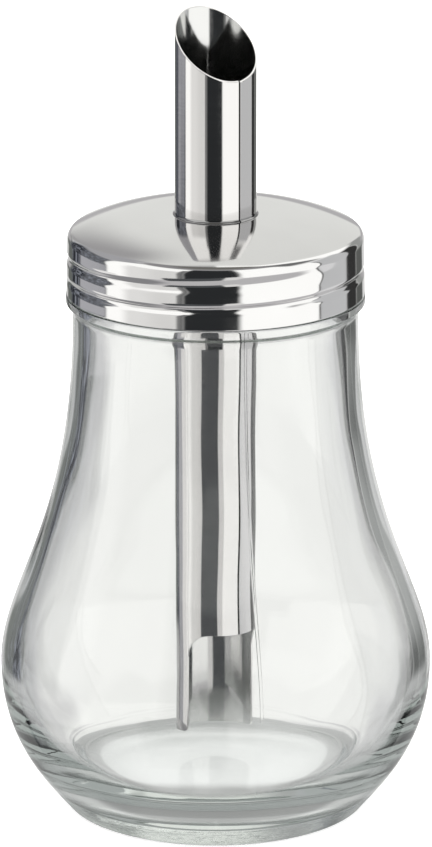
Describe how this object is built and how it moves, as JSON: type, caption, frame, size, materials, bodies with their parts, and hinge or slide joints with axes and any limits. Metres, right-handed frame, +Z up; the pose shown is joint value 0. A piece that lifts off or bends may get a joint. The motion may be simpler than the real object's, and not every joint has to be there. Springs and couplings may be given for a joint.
{
  "type": "sugar dispenser",
  "caption": "Pear-shaped clear glass jar with a polished steel screw cap and a slant-cut steel pouring tube that runs down to the jar's floor.",
  "frame": {"origin": "middle of the foot, on the surface that the jar stands on", "axes": "+Z up along the jar's axis; -Y is the side that the picture shows; the tube's mouth is lowest 31 degrees from -Y towards +X"},
  "size_m": [0.078, 0.078, 0.1462],
  "materials": {
    "jar_glass": "clear polished glass with a faint green-grey tint at the thick edges",
    "cap_steel": "mirror-polished stainless steel sheet",
    "tube_steel": "mirror-polished stainless steel sheet with fine drawing lines"
  },
  "bodies": {
    "root": {"glass_jar": "jar_glass", "screw_cap": "cap_steel", "pouring_tube": "tube_steel"}
  },
  "joints": []
}
